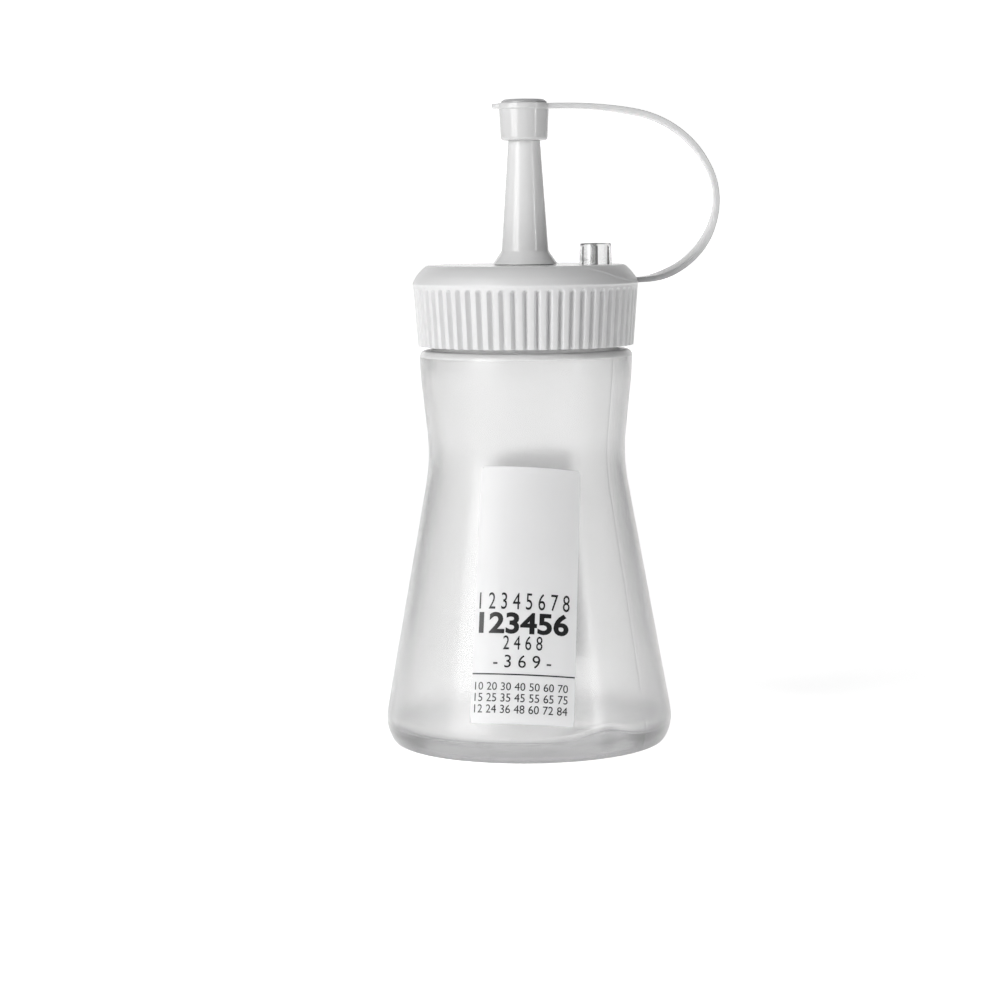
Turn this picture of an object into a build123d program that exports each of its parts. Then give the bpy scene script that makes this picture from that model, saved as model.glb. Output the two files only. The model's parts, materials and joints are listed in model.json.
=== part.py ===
from build123d import *
import os
from math import acos, atan2, cos, degrees, hypot, radians, sin, sqrt

# A 250 ml squeeze bottle for sauces: blown bottle, ribbed screw cap with a tall nozzle and a
# parking post, and a tip cap tied to the screw cap by a flexible strap.
# Millimetres and degrees. Z is up, the origin is on the bottle's axis in the plane it stands on,
# and the strap's loop lies in the plane XZ, towards +X. The front label faces -Y.

# --- bottle ---
base_radius = 34.6  # widest place, just above the heel
base_bulge_height = 6.0
heel_radius = 10.0
foot_fillet = 1.6  # from the heel into the standing ring
ring_width = 5.1  # the ring that it stands on
push_up = 2.0
waist_depth = 1.8  # how much narrower the waist is than the shoulder
waist_height = 70.6
waist_blend = 46.0
shoulder_height = 95.0
shoulder_width = 3.15  # from the neck out to the wall
shoulder_corner = 1.5
chest_blend = 60.0
bottle_wall = 1.1
neck_radius = 22.5
neck_wall = 1.4
neck_fillet = 0.8

# --- thread between the neck and the cap ---
thread_pitch = 4.5
thread_turns = 1.25
thread_depth = 1.2
thread_root_width = 2.2
thread_crest_width = 1.1
thread_root = 0.4  # how deep a ridge is rooted in its wall
thread_gap = 0.35  # radial, from each crest to the wall it faces
thread_drop = 2.4  # from the rim down to the upper end of the neck's ridge

# --- screw cap ---
skirt_gap = 1.0  # between the skirt and the bottle's shoulder
skirt_wall = 1.95  # at its lower edge, behind the ribs
skirt_flare = 1.1  # how much wider the ribs are at their top
skirt_lead_in = 0.5
rib_height = 14.6
rib_count = 60
groove_radius = 0.56
groove_end_gap = 0.5  # plain wall above a groove's end
band_step = 0.15  # plain band's stand-out from the ribs
band_height = 0.7
bevel_height = 4.1
bevel_width = 3.65
bevel_bulge = 0.42
bevel_foot_fillet = 1.2  # where the bevel turns into the plain band
ceiling = 2.0

# --- seal ring ---
seal_thickness = 0.8
seal_overhang = 0.6  # inwards past the neck's bore
seal_gap = 0.35  # outwards to the cap's wall

# --- nozzle ---
spigot_radius = 5.0
spigot_wall = 1.0
snap_clearance = 0.05
bead_stand_out = 0.6
bead_height = 0.8
seat_radius = 6.7
seat_height = 0.5  # step that lifts the flare off the cap
flare_radius = 7.7
flare_rim = 0.2
flare_height = 2.6
stem_foot_radius = 5.65
stem_top_radius = 3.85
stem_length = 26.25
stem_wall = 1.3
tip_length = 4.65
tip_radius = 2.5
orifice_radius = 1.3
orifice_length = 1.2

# --- parking post ---
post_offset = 16.95
post_foot_radius = 3.92
post_top_radius = 3.72
post_height = 5.0
post_bore = 2.9  # radius
post_web = 0.44  # a thin wall across the bore
post_web_root = 0.3  # how far it runs into the wall
post_web_drop = 0.6  # below the rim
post_edge = 0.35
post_spigot_radius = 3.4
post_spigot_length = 1.2
post_clearance = 0.05

# --- tip cap ---
cup_clearance = 0.2  # radial, from the cup to the nozzle's tip
cup_lip_radius = 5.6
cup_shoulder_radius = 6.0
cup_lip_fillet = 0.5
cup_mouth_gap = 0.2  # from the stem's top to the lip
cup_height = 7.55  # from the lip to the flange
cup_top_wall = 2.2
flange_radius = 6.35
flange_thickness = 1.35
disc_radius = 5.5
disc_height = 0.95
disc_fillet = 0.7
plug_radius = 0.9
plug_entry = 0.9  # how far the plug reaches into the orifice
tab_reach = 7.7
tab_width = 4.4
tab_thickness = 1.1

# --- strap ---
strap_width = 5.5
strap_thickness = 1.35
hinge_gap = 0.15  # between a link's round nose and the flat end it turns against
root_rise = 0.35  # from the bevel's foot up to the strap's first hinge
root_offset = 1.15  # from the band out to that hinge
top_bend_radius = 88.0
top_bend = 11.2
shoulder_bend = 54.8
side_bend_radius = 16.0
side_bend = 26.7
curl_radius = 19.5
curl_upper_bend = 40.0
strap_turn = 174.7  # all the strap's bends together

# --- labels ---
label_thickness = 0.15
label_gap = 0.05
front_label_width = 24.6
front_label_bottom = 9.0
front_label_top = 68.6
front_label_tilt = 2.8
front_label_shift = -0.3
back_label_width = 23.0
back_label_bottom = 15.3
back_label_top = 68.2
back_label_tilt = -3.0
back_label_shift = 3.0

# --- heights and radii that follow ---
foot_radius = base_radius - heel_radius + sqrt(heel_radius**2 - base_bulge_height**2)
ring_inner_radius = foot_radius - ring_width
shoulder_radius = neck_radius + shoulder_width
waist_radius = shoulder_radius - waist_depth
chest_height = shoulder_height - shoulder_corner
skirt_bottom = shoulder_height + skirt_gap
band_bottom = skirt_bottom + rib_height
bevel_bottom = band_bottom + band_height
cap_top = bevel_bottom + bevel_height
cap_ceiling = cap_top - ceiling
rim_height = cap_ceiling - seal_thickness
neck_bore = neck_radius - neck_wall
cap_bore = neck_radius + thread_depth + thread_gap
skirt_radius = cap_bore + skirt_wall
rib_radius = skirt_radius + skirt_flare
band_radius = rib_radius + band_step
ridge_height = thread_pitch * thread_turns
neck_ridge_bottom = rim_height - thread_drop - ridge_height
cap_ridge_bottom = neck_ridge_bottom - thread_pitch / 2
spigot_hole = spigot_radius + snap_clearance
post_hole = post_spigot_radius + post_clearance
flare_bottom = cap_top + seat_height
stem_bottom = flare_bottom + flare_rim + flare_height
stem_top = stem_bottom + stem_length
nozzle_top = stem_top + tip_length
tip_slope = (stem_top_radius - tip_radius) / tip_length
lip_height = stem_top + cup_mouth_gap
flange_bottom = lip_height + cup_height
flange_top = flange_bottom + flange_thickness
cap_disc_top = flange_top + disc_height
strap_height = flange_bottom + flange_thickness / 2
root_height = bevel_bottom + root_rise
root_reach = band_radius + root_offset  # from the axis
hinge_nose = strap_thickness / 2
hinge_trim = hinge_nose + hinge_gap
clear_radius = 2 * base_radius  # outside everything on the bottle
clear_height = 2 * shoulder_height


def turned(*outlines):
    """Revolves closed outlines, drawn as (radius, height), about the bottle's axis."""
    return revolve(Plane.XZ * Sketch(children=list(outlines)), axis=Axis.Z)


def polygon(*points):
    return make_face(Polyline(*points, close=True))


def box_outline(inner, outer, bottom, top):
    return polygon((inner, bottom), (outer, bottom), (outer, top), (inner, top))


def tangent_angle(right_centre, right_radius, left_centre, left_radius):
    """Angle of the normal, pointing right, of the line left of one circle and right of the other."""
    dx = right_centre[0] - left_centre[0]
    dy = right_centre[1] - left_centre[1]
    spread = degrees(acos((right_radius + left_radius) / hypot(dx, dy)))
    along = degrees(atan2(dy, dx))
    return along - spread if dy > 0 else along + spread


def on_circle(centre, radius, angle):
    return (centre[0] + radius * cos(radians(angle)), centre[1] + radius * sin(radians(angle)))


# --- bottle ---


def wall_blends():
    """Radii of the waist's and the chest's arcs, limited by the room between the two heights."""
    run = chest_height - waist_height
    room = (waist_depth**2 + run**2) / (2 * waist_depth)  # both radii together, with no straight between
    share = min(1, room / (waist_blend + chest_blend + bottle_wall))
    return waist_blend * share, chest_blend * share


def bottle_outline():
    """Half outline of the bottle's outside up to the shoulder, closed along the axis."""
    waist_arc, chest_arc = wall_blends()
    heel = (base_radius - heel_radius, base_bulge_height)
    waist = (waist_radius + waist_arc, waist_height)
    chest = (shoulder_radius - chest_arc, chest_height)
    corner = (shoulder_radius - shoulder_corner, chest_height)
    lower = tangent_angle(waist, waist_arc, heel, heel_radius)
    upper = tangent_angle(waist, waist_arc, chest, chest_arc)
    dome_radius = (ring_inner_radius**2 + push_up**2) / (2 * push_up)
    floor = (ring_inner_radius, 0)
    foot = (foot_radius, 0)
    heel_top = on_circle(heel, heel_radius, lower)
    waist_low = on_circle(waist, waist_arc, 180 + lower)
    waist_high = on_circle(waist, waist_arc, 180 + upper)
    chest_low = on_circle(chest, chest_arc, upper)
    chest_top = (shoulder_radius, chest_height)
    rim = (corner[0], shoulder_height)
    edges = [
        RadiusArc((0, push_up), floor, dome_radius),
        Line(floor, foot),
        RadiusArc(foot, heel_top, -heel_radius),
        Line(heel_top, waist_low),
        RadiusArc(waist_low, waist_high, waist_arc),
        Line(waist_high, chest_low),
        RadiusArc(chest_low, chest_top, -chest_arc),
        RadiusArc(chest_top, rim, -shoulder_corner),
        Polyline(rim, (0, shoulder_height), (0, push_up)),
    ]
    face = make_face(edges)
    return fillet(face.vertices().sort_by_distance(foot)[0], foot_fillet)


def widened(face, amount):
    """A half outline grown by amount, or shrunk if it is negative, with its axis side kept open."""
    whole = face + mirror(face, about=Plane.YZ)
    return offset(whole, amount=amount) & box_outline(0, clear_radius, -clear_height, clear_height)


def bottle_body():
    outside = bottle_outline()
    inside = widened(outside, -bottle_wall)
    neck = box_outline(0, neck_radius, chest_height, rim_height)
    bore = box_outline(0, neck_bore, chest_height - bottle_wall, rim_height)
    wall = (outside + neck) - (inside + bore)
    root = wall.vertices().sort_by_distance((neck_radius, shoulder_height))[0]
    wall = fillet(root, neck_fillet)
    return turned(wall) + ridge(neck_radius, neck_ridge_bottom, outwards=True)


def ridge(wall_radius, bottom, outwards):
    """A thread's helical ridge, rooted in a wall of this radius."""
    side = 1 if outwards else -1
    section = polygon(
        (-side * thread_root, -thread_root_width / 2),
        (side * thread_depth, -thread_crest_width / 2),
        (side * thread_depth, thread_crest_width / 2),
        (-side * thread_root, thread_root_width / 2),
    )
    start = Plane(origin=(wall_radius, 0, 0), x_dir=(1, 0, 0), z_dir=(0, -1, 0))
    path = Helix(pitch=thread_pitch, height=ridge_height, radius=wall_radius)
    return Pos(0, 0, bottom) * sweep(start * section, path=path, is_frenet=True)


def label(width, bottom, top, tilt, shift, side):
    """A film that hugs the bottle, width by height when flat, on the side -Y or +Y."""
    outside = bottle_outline()
    film = widened(outside, label_gap + label_thickness) - widened(outside, label_gap)
    skin = turned(film)
    low = half_chord(width, bottom)
    high = half_chord(width, top)
    middle = (bottom + top) / 2
    cut = polygon((-low, bottom), (low, bottom), (high, top), (-high, top))
    cut = Pos(shift, middle) * Rot(0, 0, -tilt) * Pos(0, -middle) * cut
    return skin & extrude(Plane.XZ * cut, amount=-side * clear_radius)


def half_chord(width, height):
    """Half the straight width that a film this wide takes up when it is wrapped round the bottle here."""
    level = Line((0, height), (clear_radius, height))
    radius = (level & bottle_outline()).bounding_box().max.X
    return radius * sin(width / 2 / radius)


# --- screw cap ---


def screw_cap():
    bevel_low = (band_radius, bevel_bottom)
    bevel_high = (band_radius - bevel_width, cap_top)
    slant = hypot(bevel_width, bevel_height)
    bevel_mid = (
        band_radius - bevel_width / 2 + bevel_bulge * bevel_height / slant,
        bevel_bottom + bevel_height / 2 + bevel_bulge * bevel_width / slant,
    )
    outside = make_face(
        [
            Polyline(
                (0, cap_top),
                (0, skirt_bottom),
                (skirt_radius, skirt_bottom),
                (rib_radius, band_bottom),
                (band_radius, band_bottom + band_step),
                bevel_low,
            ),
            ThreePointArc(bevel_low, bevel_mid, bevel_high),
            Line(bevel_high, (0, cap_top)),
        ]
    )
    outside = fillet(outside.vertices().sort_by_distance(bevel_low)[0], bevel_foot_fillet)
    inside = box_outline(0, cap_bore, skirt_bottom, cap_ceiling)
    lead_in = polygon(
        (cap_bore, skirt_bottom),
        (cap_bore + skirt_lead_in, skirt_bottom),
        (cap_bore, skirt_bottom + skirt_lead_in),
    )
    body = turned(outside) - turned(inside + lead_in)
    body -= [Rot(0, 0, 360 * i / rib_count) * groove() for i in range(rib_count)]
    body -= hole(spigot_hole, ceiling)
    body -= Pos(post_offset, 0, 0) * hole(post_hole, post_spigot_length)
    body += ridge(cap_bore, cap_ridge_bottom, outwards=False)
    return body + strap_lug()


def hole(radius, depth):
    """A cutter on the axis that goes this deep into the cap's top."""
    return Pos(0, 0, cap_top) * Cylinder(radius, depth, align=(Align.CENTER, Align.CENTER, Align.MAX))


def groove():
    """A round-ended cutter that lies along the ribs' slope."""
    lean = degrees(atan2(skirt_flare, rib_height))
    top = band_bottom - groove_end_gap - groove_radius
    length = (top - skirt_bottom) / cos(radians(lean))
    cutter = Cylinder(groove_radius, 2 * length) + Pos(0, 0, length) * Sphere(groove_radius)
    return Pos(skirt_radius, 0, skirt_bottom) * Rot(0, lean, 0) * cutter


def strap_lug():
    """The stub on the cap's rim that the strap's first hinge turns against."""
    reach = root_reach - hinge_trim
    foot = cap_bore
    lug = Box(reach - foot, strap_width, strap_thickness, align=(Align.MIN, Align.CENTER, Align.CENTER))
    return Pos(foot, 0, root_height) * lug


def seal_ring():
    return turned(box_outline(neck_bore - seal_overhang, cap_bore - seal_gap, rim_height, cap_ceiling))


# --- nozzle and post ---


def nozzle():
    bead_top = cap_ceiling
    bead_radius = spigot_radius + bead_stand_out
    bead_foot = bead_top - bead_height
    bore = spigot_radius - spigot_wall
    outside = [
        (bore, bead_foot),
        (spigot_radius, bead_foot),
        (bead_radius, bead_foot + bead_height / 2),
        (bead_radius, bead_top - snap_clearance),
        (spigot_radius, bead_top - snap_clearance),
        (spigot_radius, cap_top),
        (seat_radius, cap_top),
        (seat_radius, flare_bottom),
        (flare_radius, flare_bottom),
        (flare_radius, flare_bottom + flare_rim),
        (stem_foot_radius, stem_bottom),
        (stem_top_radius, stem_top),
        (tip_radius, nozzle_top),
    ]
    inside = [
        (orifice_radius, nozzle_top),
        (orifice_radius, nozzle_top - orifice_length),
        (stem_top_radius - stem_wall, stem_top),
        (bore, stem_bottom - seat_height),
    ]
    return turned(polygon(*outside, *inside))


def parking_post():
    top = cap_top + post_height
    foot = cap_top - post_spigot_length
    tube = polygon(
        (post_bore, foot),
        (post_spigot_radius, foot),
        (post_spigot_radius, cap_top),
        (post_foot_radius, cap_top),
        (post_top_radius, top),
        (post_bore, top),
    )
    tube = fillet(tube.vertices().sort_by_distance((post_top_radius, top))[0], post_edge)
    across = 2 * (post_bore + post_web_root)
    web = Box(post_web, across, top - post_web_drop - foot, align=(Align.CENTER, Align.CENTER, Align.MIN))
    return Pos(post_offset, 0, 0) * (turned(tube) + Pos(0, 0, foot) * web)


# --- tip cap ---


def socket_radius(height):
    """Inside radius of the cup, which follows the nozzle's tip at a clearance."""
    return stem_top_radius - (height - stem_top) * tip_slope + cup_clearance


def tip_cap():
    cavity_top = cap_disc_top - cup_top_wall
    waist = nozzle_top + cup_clearance
    plug_end = nozzle_top - plug_entry
    cup = polygon(
        (0, cap_disc_top),
        (0, plug_end),
        (plug_radius, plug_end),
        (plug_radius, cavity_top),
        (socket_radius(waist), cavity_top),
        (socket_radius(waist), waist),
        (socket_radius(lip_height), lip_height),
        (cup_lip_radius, lip_height),
        (cup_shoulder_radius, flange_bottom),
        (flange_radius, flange_bottom),
        (flange_radius, flange_top),
        (disc_radius, flange_top),
        (disc_radius, cap_disc_top),
    )
    lip = cup.vertices().sort_by_distance((cup_lip_radius, lip_height))[0]
    cup = fillet(lip, cup_lip_fillet)
    rim = cup.vertices().sort_by_distance((disc_radius, cap_disc_top))[0]
    cup = fillet(rim, disc_fillet)
    return turned(cup) + finger_tab() + strap_pieces()["top"]


def finger_tab():
    tip = tab_width / 2
    root = disc_radius - disc_fillet
    middle = (root + tab_reach - tip) / 2
    blade = Pos(-middle, 0) * Rectangle(tab_reach - tip - root, tab_width)
    blade += Pos(tip - tab_reach, 0) * Circle(tip)
    blade = extrude(blade, amount=tab_thickness / 2, both=True)
    return Pos(0, 0, strap_height) * blade


# --- strap ---


def strap_bends():
    """The strap's arcs from the tip cap round to its root, as (name, radius, turn), a name per link."""
    half = shoulder_bend / 2
    curl = strap_turn - top_bend - shoulder_bend - side_bend
    fixed = [
        ("top", top_bend_radius, top_bend),
        ("upper", None, half),
        ("side", None, half),
        ("lower", side_bend_radius, side_bend),
        ("lower", curl_radius, curl_upper_bend),
        ("root", curl_radius, curl - curl_upper_bend),
    ]
    heading = 0
    drop = strap_height - root_height
    share = 0
    for _, radius, turn in fixed:
        fall = cos(radians(heading)) - cos(radians(heading + turn))
        if radius is None:
            share += fall
        else:
            drop -= radius * fall
        heading += turn
    return [(name, radius or drop / share, turn) for name, radius, turn in fixed]


def strap_route():
    """The strap's straight length and, for each arc, its name, centre, radius, start and turn."""
    heading = 0
    across = 0
    for _, radius, turn in strap_bends():
        across += radius * (sin(radians(heading + turn)) - sin(radians(heading)))
        heading += turn
    straight = root_reach - flange_radius - across
    x = root_reach - across
    z = strap_height
    heading = 0
    arcs = []
    for name, radius, turn in strap_bends():
        centre = (x - radius * sin(radians(heading)), z - radius * cos(radians(heading)))
        arcs.append((name, centre, radius, 90 - heading, turn))
        heading += turn
        x, z = on_circle(centre, radius, 90 - heading)
    return straight, arcs


def band(centre, radius, start, turn):
    """A slice of ring that runs clockwise from the angle start."""
    outer = CenterArc(centre, radius + strap_thickness / 2, start, -turn)
    inner = CenterArc(centre, radius - strap_thickness / 2, start, -turn)
    return make_face([outer, Line(outer @ 1, inner @ 1), inner, Line(inner @ 0, outer @ 0)])


def strap_pieces():
    """The strap's links as solids. Each ends in a round nose at its hinge on the root's side."""
    straight, arcs = strap_route()
    outlines = {}
    for i, (name, centre, radius, start, turn) in enumerate(arcs):
        first = i == 0 or arcs[i - 1][0] != name
        trim = degrees(hinge_trim / radius) if first and i > 0 else 0
        outline = band(centre, radius, start - trim, turn - trim)
        if i == 0:
            outline += box_outline(
                disc_radius - disc_fillet,
                flange_radius + straight,
                strap_height - strap_thickness / 2,
                strap_height + strap_thickness / 2,
            )
        if i == len(arcs) - 1 or arcs[i + 1][0] != name:
            outline += Pos(*on_circle(centre, radius, start - turn)) * Circle(hinge_nose)
        outlines[name] = outlines[name] + outline if name in outlines else outline
    half = strap_width / 2
    return {name: extrude(Plane.XZ * face, amount=half, both=True) for name, face in outlines.items()}


# --- write the parts ---

links = strap_pieces()
parts = {
    "bottle_body": bottle_body(),
    "front_label": label(
        front_label_width, front_label_bottom, front_label_top, front_label_tilt, front_label_shift, -1
    ),
    "back_label": label(
        back_label_width, back_label_bottom, back_label_top, back_label_tilt, back_label_shift, 1
    ),
    "seal_ring": seal_ring(),
    "screw_cap": screw_cap(),
    "nozzle": nozzle(),
    "parking_post": parking_post(),
    "tip_cap": tip_cap(),
    "strap_upper": links["upper"],
    "strap_side": links["side"],
    "strap_lower": links["lower"],
    "strap_root": links["root"],
}
os.makedirs("parts", exist_ok=True)
for name, shape in parts.items():
    export_step(shape, f"parts/{name}.step")
    print(name, round(shape.volume, 1), shape.is_valid, len(shape.solids()))
for name, centre, radius, start, turn in strap_route()[1]:
    x, z = on_circle(centre, radius, start - turn)
    print(f"strap {name}: radius {radius:.2f}, ends at x {x:.3f}, z {z:.3f}")
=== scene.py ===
import math

import bmesh
import bpy
import numpy as np
from mathutils import Matrix, Vector
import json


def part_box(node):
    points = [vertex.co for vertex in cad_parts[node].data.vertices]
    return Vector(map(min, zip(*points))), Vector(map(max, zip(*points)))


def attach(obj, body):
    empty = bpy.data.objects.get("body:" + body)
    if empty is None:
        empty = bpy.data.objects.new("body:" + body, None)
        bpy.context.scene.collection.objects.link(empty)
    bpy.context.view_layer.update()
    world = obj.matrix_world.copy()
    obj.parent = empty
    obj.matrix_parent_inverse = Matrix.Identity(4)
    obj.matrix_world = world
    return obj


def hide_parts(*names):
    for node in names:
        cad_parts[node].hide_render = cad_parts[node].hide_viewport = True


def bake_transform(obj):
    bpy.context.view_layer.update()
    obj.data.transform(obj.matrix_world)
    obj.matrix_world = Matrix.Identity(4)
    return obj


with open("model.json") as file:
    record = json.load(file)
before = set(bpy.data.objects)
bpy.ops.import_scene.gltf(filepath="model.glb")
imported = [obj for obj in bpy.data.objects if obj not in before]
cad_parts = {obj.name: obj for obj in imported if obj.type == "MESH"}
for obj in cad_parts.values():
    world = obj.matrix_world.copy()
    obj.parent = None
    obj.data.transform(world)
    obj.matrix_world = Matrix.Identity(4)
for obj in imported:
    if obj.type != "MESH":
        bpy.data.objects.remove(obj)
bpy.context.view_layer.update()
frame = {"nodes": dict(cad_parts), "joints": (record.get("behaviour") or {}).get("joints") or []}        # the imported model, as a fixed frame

mm = 0.001  # shapes below are worked out in millimetres and made metres in their meshes


def nodeBox(node):
    # lowest and highest corner of a CAD node, in millimetres
    low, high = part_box(node)
    return np.array(low) / mm, np.array(high) / mm


bottleHigh = nodeBox("bottle_body")[1]
capLow, capHigh = nodeBox("screw_cap")
nozzleHigh = nodeBox("nozzle")[1]
postLow, postHigh = nodeBox("parking_post")
tipHigh = nodeBox("tip_cap")[1]

# Lines and surfaces


def arc(centre, radius, start, end, count=12):
    # centre plus radius times the cosine and sine of angles spaced evenly from start to end, in degrees
    angle = np.radians(np.linspace(start, end, count))
    return np.column_stack([centre[0] + radius * np.cos(angle), centre[1] + radius * np.sin(angle)])


def joined(*lines):
    # the lines one after another, without points that repeat
    line = np.vstack([np.atleast_2d(np.array(part, float)) for part in lines])
    apart = np.linalg.norm(np.diff(line, axis=0), axis=1) > 1e-4
    return line[np.r_[True, apart]]


def eased(corners, count=6):
    # corners (x, y, ease): each becomes a quadratic curve that leaves its runs at the distance ease
    table = np.array(corners, float)
    point, ease = table[:, :2], table[:, 2]
    step = np.diff(point, axis=0)
    run = np.linalg.norm(step, axis=1)
    way = step / run[:, None]
    before, after = np.vstack([way[:1], way]), np.vstack([way, way[-1:]])
    # two curves on one run take a little less than half of it each
    room = 0.48 * np.minimum(np.r_[run[0], run], np.r_[run, run[-1]])
    reach = np.minimum(ease, room)[:, None, None]
    t = np.linspace(0, 1, count)[None, :, None]
    start, end = point[:, None] - reach * before[:, None], point[:, None] + reach * after[:, None]
    curve = (1 - t) ** 2 * start + 2 * t * (1 - t) * point[:, None] + t**2 * end
    return joined(curve.reshape(-1, 2))


def refined(line, longest):
    # the same line with more points on its long runs, none further apart than longest
    along = np.r_[0, np.cumsum(np.linalg.norm(np.diff(line, axis=0), axis=1))]
    stops = np.unique(np.round(np.r_[along, np.arange(0, along[-1], longest)], 3))
    stops = stops[np.r_[True, np.diff(stops) > 0.02]]
    stops[-1] = along[-1]
    return np.column_stack([np.interp(stops, along, line[:, 0]), np.interp(stops, along, line[:, 1])])


def turned(line, angle):
    # radius and height swept round Z: x is radius times cosine, y is radius times sine of each angle
    radius, height = line[:, :1], line[:, 1:]
    return np.stack([radius * np.cos(angle), radius * np.sin(angle), height + 0 * angle], axis=-1)


def evenTurn(count):
    # angles spaced evenly round a full turn
    return np.linspace(0, 2 * np.pi, count, endpoint=False)


def flattenedLoop(wide, high, powers, count):
    # a superellipse: cosine and sine of a full turn, each raised to its own power with its sign kept
    angle = evenTurn(count)
    c, s = np.cos(angle), np.sin(angle)
    return wide * np.sign(c) * np.abs(c) ** powers[0], high * np.sign(s) * np.abs(s) ** powers[1]


def smoothStep(x):
    # 3 t squared minus 2 t cubed, with t held between 0 and 1
    t = np.clip(x, 0, 1)
    return t * t * (3 - 2 * t)


def meshFromGrid(name, grid, wrapRows, wrapColumns, place):
    # quads between neighbouring points of a grid; a wrapped direction joins its end to its start
    rows, columns = grid.shape[:2]
    index = np.arange(rows * columns).reshape(rows, columns)
    if wrapRows:
        index = np.vstack([index, index[:1]])
    if wrapColumns:
        index = np.hstack([index, index[:, :1]])
    quads = np.stack([index[:-1, :-1], index[:-1, 1:], index[1:, 1:], index[1:, :-1]], axis=-1).reshape(-1, 4)
    mesh = bpy.data.meshes.new(name)
    mesh.from_pydata((grid * mm).reshape(-1, 3), [], quads)
    if place is not None:
        layer = mesh.uv_layers.new(name="place")
        corner = np.zeros(len(mesh.loops), int)
        mesh.loops.foreach_get("vertex_index", corner)
        layer.data.foreach_set("uv", place.reshape(-1, 2)[corner].ravel())
    return mesh


def finishMesh(mesh, sharp):
    # poles and seams are merged, faces turned outwards, and edges sharper than this angle kept crisp
    shape = bmesh.new()
    shape.from_mesh(mesh)
    bmesh.ops.remove_doubles(shape, verts=shape.verts, dist=2e-7)
    bmesh.ops.dissolve_degenerate(shape, edges=shape.edges, dist=1e-8)
    bmesh.ops.recalc_face_normals(shape, faces=shape.faces)
    shape.to_mesh(mesh)
    shape.free()
    mesh.shade_smooth()
    mesh.set_sharp_from_angle(angle=math.radians(sharp))


def addObject(name, data):
    thing = bpy.data.objects.new(name, data)
    bpy.context.scene.collection.objects.link(thing)
    return thing


def addPiece(name, grid, material, wrapRows=False, wrapColumns=True, place=None, sharp=40):
    mesh = meshFromGrid(name, grid, wrapRows, wrapColumns, place)
    finishMesh(mesh, sharp)
    piece = addObject(name, mesh)
    mesh.materials.append(material)
    return piece


def faceValues(piece, what):
    # the centre or the normal of every face, one row each
    values = np.zeros(len(piece.data.polygons) * 3)
    piece.data.polygons.foreach_get(what, values)
    return values.reshape(-1, 3)


def facesAbove(piece, height):
    return faceValues(piece, "center")[:, 2] > height * mm


def giveOther(piece, material, chosen):
    # the chosen faces take a second material
    piece.data.materials.append(material)
    piece.data.polygons.foreach_set("material_index", chosen.astype(int))


# Materials


def hexColour(code):
    # an sRGB hex value made linear
    value = np.array([int(code[i : i + 2], 16) for i in (1, 3, 5)]) / 255
    linear = np.where(value <= 0.04045, value / 12.92, ((value + 0.055) / 1.055) ** 2.4)
    return (*linear.tolist(), 1.0)


def addNode(tree, kind, inputs, output=0, **settings):
    # a node with its settings; an input is a value, or another node's output to link. It gives back
    # the output that the next node needs.
    node = tree.nodes.new("ShaderNode" + kind)
    for key, value in settings.items():
        setattr(node, key, value)
    for key, value in inputs.items():
        if isinstance(value, bpy.types.NodeSocket):
            tree.links.new(value, node.inputs[key])
        else:
            node.inputs[key].default_value = value
    return node.outputs[output] if len(node.outputs) else None


def startMaterial(name):
    # an empty material, its node tree, and the object's own coordinates to lay patterns out by
    material = bpy.data.materials.new(name)
    material.use_nodes = True
    material.node_tree.nodes.clear()
    return material, material.node_tree, addNode(material.node_tree, "TexCoord", {}, "Object")


def addNoise(tree, where, size, detail=1.0, stretch=1.0):
    # noise with features of this many millimetres, drawn out upright to this share of its scale
    if stretch != 1:
        where = addNode(tree, "Mapping", {"Vector": where, "Scale": (1, 1, stretch)})
    return addNode(tree, "TexNoise", {"Vector": where, "Scale": 1 / (size * mm), "Detail": detail})


def addBump(tree, height, strength, depth):
    return addNode(tree, "Bump", {"Height": height, "Strength": strength, "Distance": depth * mm})


def addMix(tree, share, first, second):
    return addNode(tree, "Mix", {"Factor": share, 6: first, 7: second}, 2, data_type="RGBA")


def addSpread(tree, value, low, high):
    # a value from 0 to 1, spread evenly from low to high
    return addNode(tree, "MapRange", {"Value": value, "To Min": low, "To Max": high})


def addFade(tree, value, none, full):
    # 0 where the value is none, 1 where it is full, both in millimetres, and even in between
    return addNode(tree, "MapRange", {"Value": value, "From Min": none * mm, "From Max": full * mm})


def addHeight(tree, where):
    return addNode(tree, "SeparateXYZ", {"Vector": where}, "Z")


def addSurface(tree, finish):
    addNode(tree, "OutputMaterial", {"Surface": addNode(tree, "BsdfPrincipled", finish)})


# Low-density polyethylene, blown into a mould: milky and waxy, see-through with a soft blur, with
# faint upright streaks where the tube of melt was stretched, a fine ripple in its reflections, and a
# heel painted greyer, also round the lump: painted shade for the dark under the foot seen through the
# thick plastic there, which itself clouds it a little.
bottleLook = {
    "colour": "#fbfbfb",
    "seeThrough": 0.86,
    "roughness": (0.2, 0.26),
    "ior": 1.45,
    "streakSize": 4.0,  # mm
    "streakStretch": 0.08,  # upright, they are drawn out to this share of the pattern's scale
    "streakStrength": 0.25,
    "rippleSize": 9.0,
    "streakDepth": 0.05,
    # painted shade: this grey stands in for the shadow under the foot, seen through the thick heel
    "heelShadeColour": "#acacad",
    "heelTop": (2.0, 7.5),  # mm: greyest below the first height, not at all above the second
    "heelEdge": (25.0, 31.0),  # nor nearer to the axis than this; wholly beyond the second radius
    "lumpPlace": (17.0, -27.0, 2.8),
    "lumpReach": (2.5, 6.5),
}
# The same plastic where the mould leaves it thick, in the shoulder and the neck: milkier, and it glows
# where light reaches it from beneath.
thickLook = {**bottleLook, "colour": "#f9f9f9", "seeThrough": 0.43}


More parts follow.
